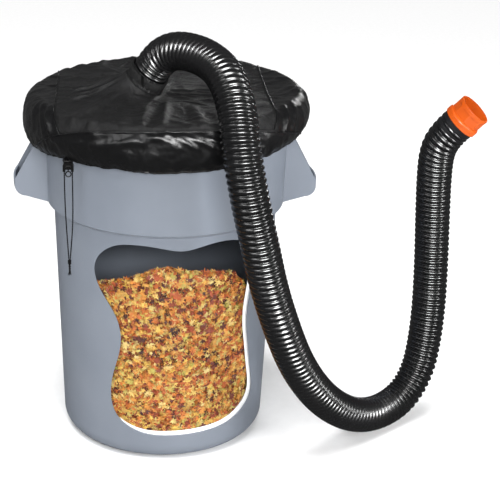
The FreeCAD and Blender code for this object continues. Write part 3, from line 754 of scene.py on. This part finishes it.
def sub_line(start, end, step=0.0015):
    """The first stretch of the hose's line, from start to end metres along it."""
    line, at = resampled(hose_line, 0.0005)
    want = np.linspace(start, end, int((end - start) / step) + 1)
    return np.stack([np.interp(want, at, line[:, k]) for k in range(3)], 1), want


SLEEVE_START, SLEEVE_END = 0.005, 0.044
SLEEVE_R, SLEEVE_T = 0.0474, 0.0010
PLEAT_HIGH = FLARE = 0.0012
STRAP_AT, STRAP_W = 0.0195, 0.019
FLAP_R = 0.0489


def unit(value):
    """The value kept between 0 and 1."""
    return min(max(value, 0), 1)


def sleeve_radius(s, turn):
    """The sleeve's cloth: smooth under the strap, pleated above and below it."""
    pleat = math.sin(19 * turn + 2.2 * math.sin(3 * turn)) * (0.6 + 0.4 * math.sin(7 * turn + 1))
    under = unit((s - STRAP_AT + 0.005) / 0.005) * unit((STRAP_AT + 0.024 - s) / 0.005)
    base = SLEEVE_R + 0.0004 * (1 - under)
    flare = FLARE * unit((s - STRAP_AT - STRAP_W) / 0.006)
    return base + flare + PLEAT_HIGH * pleat * (1 - under)


sleeve = swept("hose_sleeve_cloth", sub_line(SLEEVE_START, SLEEVE_END, 0.001), sleeve_radius, 160, MESH)
sleeve.modifiers.new("thickness", "SOLIDIFY").thickness = SLEEVE_T
sleeve.modifiers["thickness"].offset = -1
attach(sleeve, "cover")
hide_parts("hose_sleeve")


def band_sector(name, start_s, width, r_in, thick, from_turn, to_turn, columns=160):
    """A webbing band round the hose, or a sector of one with closed ends. Turn 0 faces the front."""
    line, at = sub_line(start_s, start_s + width, width / 8)
    ahead = line[-1] - line[0]
    ahead /= np.linalg.norm(ahead)
    side = np.cross(ahead, (0, 1, 0))
    side /= np.linalg.norm(side)
    front = np.cross(ahead, side)
    front = -front if front[1] > 0 else front
    right = np.cross(ahead, front)
    right = -right if right[0] < 0 else right
    closed = to_turn - from_turn > 6.2
    count = columns if closed else columns + 1
    soft, shoulder, foot = 0.0004, 0.0012, 0.0006
    outline = [(0, thick * 0.5), (soft * 0.5, thick - soft), (shoulder, thick), (width - shoulder, thick),
               (width - soft * 0.5, thick - soft), (width, thick * 0.5), (width - foot, 0.0), (foot, 0.0)]
    verts, uvs = [], []
    for i in range(count):
        turn = from_turn + (to_turn - from_turn) * i / columns
        out = math.cos(turn) * front + math.sin(turn) * right
        rise = 0.0004 * math.sin(9 * turn) + 0.0002 * math.sin(23 * turn)
        for along, high in outline:
            p = np.array([np.interp(along, at - start_s, line[:, k]) for k in range(3)])
            verts.append(p + out * (r_in + high + rise * (high > thick * 0.6)))
            uvs.append((turn * r_in, along))
    faces = ring_faces(count, len(outline), closed)
    if not closed:
        faces += end_faces(count, len(outline))
    return add_mesh(name, verts, faces, WEBBING, uvs=uvs)


strap = band_sector("webbing_strap", STRAP_AT, STRAP_W, SLEEVE_R, 0.0013, 0, TAU)
flap = band_sector("webbing_strap_tail", STRAP_AT - 0.0002, 0.0194, FLAP_R, 0.0014, -0.02, 0.86, 48)
for piece, cad in ((strap, "sleeve_strap"), (flap, "strap_tail")):
    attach(piece, "cover")
    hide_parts(cad)


# ---- knot

KNOT_LEN = 0.033
KNOT_STEP = 0.0007
TWIST_TURNS, TWIST_R, TWIST_CORD_R, TWIST_PHASE = 2.6, 0.00145, 0.00148, 0.3
WRAP_TURNS, WRAP_R, WRAP_CORD_R, WRAP_DROP, WRAP_LEN = 3.4, 0.0029, 0.0014, 0.0035, 0.0095
TUFT_FIBRES, FIBRE_R = 34, 0.00030


def twisted_cords(top, bottom):
    """Two cords twisted round each other, hanging down."""
    strands = []
    for half in (0, math.pi):
        line = []
        for i in range(61):
            t = i / 60
            a = TWIST_PHASE + half + TWIST_TURNS * TAU * t
            r = TWIST_R * (0.85 + 0.15 * math.sin(5 * t))
            p = top + (bottom - top) * t
            line.append((p[0] + r * math.cos(a), p[1] + r * math.sin(a), p[2]))
        path = resampled(np.array(line), KNOT_STEP)
        strands.append(swept("twist", path, lambda s, t: TWIST_CORD_R, 10, CORD, cap=True))
    return strands


def knot_wrap(top):
    """The turns of cord that bind the two tails."""
    coil = []
    for i in range(150):
        t = i / 149
        a = TAU * WRAP_TURNS * t
        z = top[2] - WRAP_DROP - WRAP_LEN * t
        coil.append((top[0] + WRAP_R * math.cos(a), top[1] + WRAP_R * math.sin(a), z))
    path = resampled(np.array(coil), KNOT_STEP)
    return swept("wrap", path, lambda s, t: WRAP_CORD_R, 10, CORD, cap=True)


def tuft_fibre(low):
    """One frayed fibre of the tuft under the knot."""
    a, tilt = random.uniform(0, TAU), random.uniform(0.0004, 0.0030)
    start = low + np.array((0.0014 * math.cos(a), 0.0014 * math.sin(a), 0.0016))
    drop = -random.uniform(0.0075, 0.0105)
    end = start + np.array((tilt * math.cos(a) - 0.0006, tilt * math.sin(a), drop))
    mid = (start + end) / 2 + np.array((0.0005 * math.cos(a), 0.0005 * math.sin(a), 0))
    line = nurbs_line([tuple(start), tuple(mid), tuple(end)], 6)
    path = (line, np.linspace(0, 1, len(line)))
    return swept("fibre", path, lambda s, t: FIBRE_R * (1.15 - 0.5 * s), 5, CORD, cap=True)


knot_top = (np.array(tails[0][1][-1]) + np.array(tails[1][1][-1])) / 2
knot_top[2] -= 0.0002
knot_low = knot_top + np.array((0.0004, 0, -KNOT_LEN))
pieces = twisted_cords(knot_top + np.array((0, 0, -0.001)), knot_low) + [knot_wrap(knot_top)]
pieces += [tuft_fibre(knot_low) for _ in range(TUFT_FIBRES)]
knot = joined("twisted_knot_and_tuft", pieces)
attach(knot, "cover")
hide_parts("cord_knot")


# ---- leaves

WALL_BASE_R, WALL_GROOVE_R = 0.2588, 0.2776
WALL_BASE_Z, WALL_HIGH = 0.04, 0.56
WALL_CLEARANCE = 0.0066
LEAF_FLOOR_Z, HEAP_FLOOR_Z = 0.014, 0.016
HEAP_EDGE_R, HEAP_COVER, HEAP_DEEP = 0.252, 0.012, 0.014
FRONT_R, TOP_LEAVES_R = 0.268, 0.262
WINDOW_TURN, WINDOW_Z, WINDOW_DEEP = 0.92, (0.055, 0.54), 0.016
CREST_COUNT, CREST_X, CREST_DEEP = 800, 0.2, 0.03
WINDOW_LEAF, TOP_LEAF, CREST_LEAF = (0.012, 0.031), (0.012, 0.025), (0.011, 0.022)
# The heap's height along the front wall: (x, z) in metres
CREST = [(-0.28, 0.425), (-0.173, 0.460), (-0.094, 0.487), (-0.063, 0.500), (-0.029, 0.516), (0.005, 0.521),
         (0.024, 0.514), (0.048, 0.508), (0.079, 0.507), (0.110, 0.502), (0.143, 0.493), (0.161, 0.478),
         (0.192, 0.438), (0.28, 0.395)]
SLOPE = math.tan(math.radians(28))


def inside_radius(z):
    """Inner radius of the bin's wall, less a little air."""
    high = unit((z - WALL_BASE_Z) / WALL_HIGH)
    return WALL_BASE_R + (WALL_GROOVE_R - WALL_BASE_R) * high - WALL_CLEARANCE


def mound_z(x, y):
    """Top of the heap: highest at the front wall, falling away to the back."""
    crest = float(np.interp(x, [c[0] for c in CREST], [c[1] for c in CREST]))
    front = -math.sqrt(max(FRONT_R ** 2 - x * x, 0))
    lumps = 0.006 * noise.noise(Vector((x * 22, y * 22, 5.0)))
    return crest - SLOPE * (y - front) + lumps * min(1, (y - front) / 0.05)


LEAF_OUTLINE = [
    (0.000, -0.50), (0.035, -0.25), (0.27, -0.38), (0.17, -0.16), (0.52, -0.13), (0.25, 0.03),
    (0.45, 0.33), (0.16, 0.17), (0.00, 0.58),
]
LEAF_RING = LEAF_OUTLINE + [(-x, y) for x, y in LEAF_OUTLINE[-2:0:-1]]


def leaf_points(size, curl, cup, stretch):
    """One small lobed leaf, folded along its midrib and curled."""
    ring = [(x * stretch * size, y * size) for x, y in LEAF_RING]
    points = [(0.0, -0.12 * size), (0.0, 0.22 * size)] + ring
    return [Vector((x, y, cup * abs(x) - curl * y * y / size - 0.35 * curl * x * x / size))
            for x, y in points]


RING_N = len(LEAF_RING)
LEAF_FACES = []
for i in range(RING_N):
    j = (i + 1) % RING_N
    centre, next_centre = [int(LEAF_RING[k][1] > 0.08) for k in (i, j)]
    LEAF_FACES.append((centre, 2 + i, 2 + j))
    if centre != next_centre:
        LEAF_FACES.append((centre, 2 + j, next_centre))


def place_leaf(verts, faces, at, normal, size):
    """Adds one leaf, turned at random, and kept inside the bin's wall and above its floor."""
    normal = normal.normalized()
    spin = Matrix.Rotation(random.uniform(0, TAU), 3, "Z")
    turn = normal.to_track_quat("Z", "Y").to_matrix() @ spin
    base = len(verts)
    curl, cup, stretch = random.uniform(-0.5, 1.1), random.uniform(-0.1, 0.7), random.uniform(0.38, 1.0)
    for p in leaf_points(size, curl, cup, stretch):
        q = at + turn @ p
        r = math.hypot(q.x, q.y)
        most = inside_radius(q.z)
        if r > most:
            q.x, q.y = q.x * most / r, q.y * most / r
        q.z = max(q.z, LEAF_FLOOR_Z)
        verts.append(q)
    faces += [tuple(base + k for k in face) for face in LEAF_FACES]


def make_leaves():
    """Loose leaves behind the window, and over the heap's top."""
    verts, faces = [], []
    window_count, top_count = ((9800, 3400))
    for _ in range(window_count):
        a = random.uniform(-WINDOW_TURN, WINDOW_TURN)
        z = random.uniform(*WINDOW_Z)
        r = inside_radius(z) - random.uniform(0.0, WINDOW_DEEP)
        x, y = r * math.sin(a), -r * math.cos(a)
        if z > mound_z(x, y) - 0.004:
            continue
        normal = Vector((math.sin(a) + random.gauss(0, 0.42), -math.cos(a) + random.gauss(0, 0.42),
                         random.gauss(0.38, 0.5)))
        place_leaf(verts, faces, Vector((x, y, z)), normal, random.uniform(*WINDOW_LEAF))
    behind_window = add_mesh("loose_leaves", verts, faces, LEAF, smooth=False)
    verts, faces = [], []
    for _ in range(top_count):
        r = TOP_LEAVES_R * math.sqrt(random.random())
        a = random.uniform(0, TAU)
        x, y = r * math.cos(a), r * math.sin(a)
        z = mound_z(x, y) + random.uniform(-0.006, 0.003)
        normal = Vector((random.gauss(0, 0.35), random.gauss(0.45, 0.35), 1))
        place_leaf(verts, faces, Vector((x, y, z)), normal, random.uniform(*TOP_LEAF))
    for _ in range(CREST_COUNT):
        x = random.uniform(-CREST_X, CREST_X)
        y = -math.sqrt(TOP_LEAVES_R ** 2 - x * x) + random.uniform(0, CREST_DEEP)
        z = mound_z(x, y) + random.uniform(-0.004, 0.004)
        normal = Vector((random.gauss(0, 0.5), random.gauss(-0.6, 0.5), 1))
        place_leaf(verts, faces, Vector((x, y, z)), normal, random.uniform(*CREST_LEAF))
    return behind_window, add_mesh("loose_leaves_top", verts, faces, LEAF, smooth=False)


def make_heap():
    """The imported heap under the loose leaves: a closed lumpy body a little inside the wall."""
    columns, rows, rings = 120, 40, 22
    verts = []
    for j in range(rows + 1):
        for i in range(columns):
            a = TAU * i / columns
            top = mound_z(HEAP_EDGE_R * math.cos(a), HEAP_EDGE_R * math.sin(a)) - HEAP_COVER
            z = HEAP_FLOOR_Z + (top - HEAP_FLOOR_Z) * j / rows
            lump = 0.004 * noise.noise(Vector((math.cos(a) * 8, math.sin(a) * 8, z * 30)))
            corner = 0.03 * max(0.0, 1 - (z - HEAP_FLOOR_Z) / 0.03) ** 2
            r = inside_radius(z) - HEAP_DEEP + lump - corner
            verts.append((r * math.cos(a), r * math.sin(a), z))
    edge = verts[-columns:]
    for m in range(1, rings):
        share = 1 - m / rings
        verts += [(x * share, y * share, mound_z(x * share, y * share) - HEAP_COVER) for x, y, _ in edge]
    faces = ring_faces(rows + rings, columns)
    faces.append(tuple(range(columns))[::-1])
    last, middle = len(verts) - columns, len(verts)
    verts.append((0, 0, mound_z(0, 0) - HEAP_COVER))
    faces += [(last + i, last + (i + 1) % columns, middle) for i in range(columns)]
    # Its dark finish is partly painted shade for the gaps between the loose leaves.
    return add_mesh("leaf_heap", verts, faces, LEAF_BED_PAINTED_SHADE)


LEAF_COLOURS = [
    (0.00, (0.060, 0.012, 0.006)), (0.10, (0.20, 0.028, 0.008)), (0.20, (0.42, 0.070, 0.012)),
    (0.32, (0.62, 0.150, 0.018)), (0.44, (0.72, 0.250, 0.030)), (0.56, (0.74, 0.350, 0.055)),
    (0.68, (0.66, 0.400, 0.090)), (0.80, (0.84, 0.540, 0.090)), (0.90, (0.80, 0.600, 0.220)),
    (0.98, (0.54, 0.460, 0.080)),
]


def leaf_material():
    mat, tree, shader = new_material("leaf")
    island = node(tree, "ShaderNodeNewGeometry").outputs["Random Per Island"]
    at = coords(tree)
    patch = span(tree, noise_tex(tree, at, 7, 2), -0.16, 0.16)
    tone = ramp(tree, math_node(tree, "ADD", island, patch), LEAF_COLOURS)
    mottle = ramp(tree, noise_tex(tree, at, 130, 5, 0.65),
                  [(0.3, (0.42, 0.35, 0.29)), (0.68, (0.80, 0.80, 0.80))])
    mixed = node(tree, "ShaderNodeMix", data_type="RGBA", blend_type="MULTIPLY")
    mixed.inputs["Factor"].default_value = 0.8
    tree.links.new(tone, mixed.inputs["A"])
    tree.links.new(mottle, mixed.inputs["B"])
    tree.links.new(mixed.outputs["Result"], shader.inputs["Base Color"])
    tree.links.new(span(tree, noise_tex(tree, at, 70), 0.5, 0.8), shader.inputs["Roughness"])
    bump(tree, shader, noise_tex(tree, at, 420, 5, 0.7), 0.5, 0.0012)
    return mat


# The heap's dark rust tone is partly the leaf litter's own colour and partly painted shade, standing in for
# the shadowed gaps between the loose leaves.
def bed_material_painted_shade():
    mat, tree, shader = new_material("leaf_bed_painted_shade")
    at = coords(tree)
    tone = ramp(tree, noise_tex(tree, at, 55, 6, 0.7),
                [(0.35, (0.10, 0.025, 0.008)), (0.55, (0.32, 0.10, 0.02)), (0.75, (0.52, 0.24, 0.06))])
    tree.links.new(tone, shader.inputs["Base Color"])
    shader.inputs["Roughness"].default_value = 0.85
    bump(tree, shader, noise_tex(tree, at, 90, 6, 0.7), 0.9, 0.006)
    return mat


LEAF, LEAF_BED_PAINTED_SHADE = leaf_material(), bed_material_painted_shade()
heap = make_heap()
leaves = make_leaves()
for piece in (heap, *leaves):
    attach(piece, "bin")
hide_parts("leaf_pile")


# ---- camera, lights and stage

SENSOR, FOCAL_PIXELS, IMAGE_WIDTH = 36.0, 1339.56, 500
CAMERA_AT = (-0.1349, -3.1792, 1.7209)
CAMERA_RIGHT, CAMERA_AHEAD = (0.9947, -0.0961, 0.0359), (0.1025, 0.9249, -0.3661)


def make_camera():
    """The photograph's viewpoint."""
    data = bpy.data.cameras.new("camera")
    data.sensor_width = SENSOR
    data.lens = FOCAL_PIXELS * SENSOR / IMAGE_WIDTH
    camera = bpy.data.objects.new("camera", data)
    bpy.context.scene.collection.objects.link(camera)
    right, ahead = Vector(CAMERA_RIGHT).normalized(), Vector(CAMERA_AHEAD).normalized()
    up = right.cross(ahead)
    turn = Matrix((right, up, -ahead)).transposed().to_4x4()
    camera.matrix_world = Matrix.Translation(CAMERA_AT) @ turn
    bpy.context.scene.camera = camera


def area_light(name, at, target, size, power):
    data = bpy.data.lights.new(name, "AREA")
    data.shape = "RECTANGLE"
    data.size, data.size_y = size
    data.energy = power
    light = bpy.data.objects.new(name, data)
    light.location = at
    light.rotation_euler = (Vector(target) - Vector(at)).to_track_quat("-Z", "Y").to_euler()
    bpy.context.scene.collection.objects.link(light)
    return light


def make_sun():
    data = bpy.data.lights.new("sun", "SUN")
    data.energy = 2.9
    data.angle = math.radians(30)
    sun = bpy.data.objects.new("sun", data)
    sun.rotation_euler = (math.radians(12), math.radians(-8), 0)
    bpy.context.scene.collection.objects.link(sun)
    return sun


def make_lights():
    """Broad studio lights. The ones overhead, like the floor, don't show in the glossy black parts."""
    middle = (0.1, 0, 0.5)
    area_light("key", (-2.2, -2.0, 3.1), middle, (1.8, 0.7), 38)
    area_light("side", (2.6, -1.5, 1.35), (0.1, 0, 0.65), (0.35, 1.1), 46)
    area_light("rim", (1.7, 3.3, 1.35), (0.0, -0.2, 0.85), (0.7, 0.35), 11)
    area_light("front", (0.45, -4.2, 2.22), (0.0, 0, 0.5), (2.3, 0.52), 150)
    card = area_light("gloss_card", (0.5, -3.9, 2.75), (0.1, 0, 0.6), (2.3, 0.9), 260)
    card.visible_diffuse = False
    top = area_light("top", (0.4, 0.5, 3.4), middle, (1.2, 0.5), 20)
    sun = make_sun()
    top.visible_glossy = sun.visible_glossy = False


def make_world():
    world = bpy.data.worlds.new("studio")
    world.use_nodes = True
    sky = world.node_tree.nodes["Background"]
    sky.inputs["Color"].default_value = (1, 1, 1, 1)
    sky.inputs["Strength"].default_value = 0.14
    bpy.context.scene.world = world
    bpy.context.scene.view_settings.view_transform = "Standard"


def make_floor():
    half = 30
    mat, tree, shader = new_material("floor")
    speck = noise_tex(tree, coords(tree), 40, 4)
    tone = ramp(tree, speck, [(0.3, (0.91, 0.91, 0.91)), (0.7, (0.94, 0.94, 0.94))])
    tree.links.new(tone, shader.inputs["Base Color"])
    set_inputs(shader, Roughness=0.85)
    corners = [(-half, -half, 0), (half, -half, 0), (half, half, 0), (-half, half, 0)]
    made = add_mesh("floor", corners, [(0, 1, 2, 3)], mat)
    made.visible_glossy = False
    return made


def make_backdrop():
    """A pale dome behind everything, which only the camera sees."""
    mat, _, shader = new_material("backdrop")
    set_inputs(shader, Base_Color=(0, 0, 0, 1), Specular_IOR_Level=0.0, Emission_Color=(1, 1, 1, 1),
               Emission_Strength=0.96)
    mat.cycles.emission_sampling = "NONE"
    radius, columns, rows = 29.0, 48, 10
    points = []
    for j in range(rows + 1):
        high = math.pi / 2 * j / rows
        for i in range(columns):
            a = TAU * i / columns
            points.append((radius * math.cos(high) * math.cos(a), radius * math.cos(high) * math.sin(a),
                           radius * math.sin(high) - 0.01))
    dome = add_mesh("backdrop", points, ring_faces(rows + 1, columns), mat)
    dome.visible_diffuse = dome.visible_glossy = dome.visible_shadow = dome.visible_transmission = False
    return dome


make_camera()
make_lights()
make_world()
floor = make_floor()
make_backdrop()


# ---- CAD nodes that stay

FINISHES = {
    "bin_plastic": BIN, "edge_white": WHITE_EDGE, "lock_plastic": LOCK, "spring_steel": STEEL,
    "eyelet_metal": METAL, "cuff_plastic": CUFF, "adapter_plastic": ORANGE, "seal_rubber": SEAL,
    "satin_fabric": SATIN, "mesh_fabric": MESH, "webbing": WEBBING, "cord": CORD, "hose_plastic": HOSE,
    "leaves": LEAF_BED_PAINTED_SHADE,
}
for part in frame["record"]["subparts"]:
    piece = frame["nodes"][part["node"]]
    piece.data.materials.clear()
    piece.data.materials.append(FINISHES[part["material_slot"]])
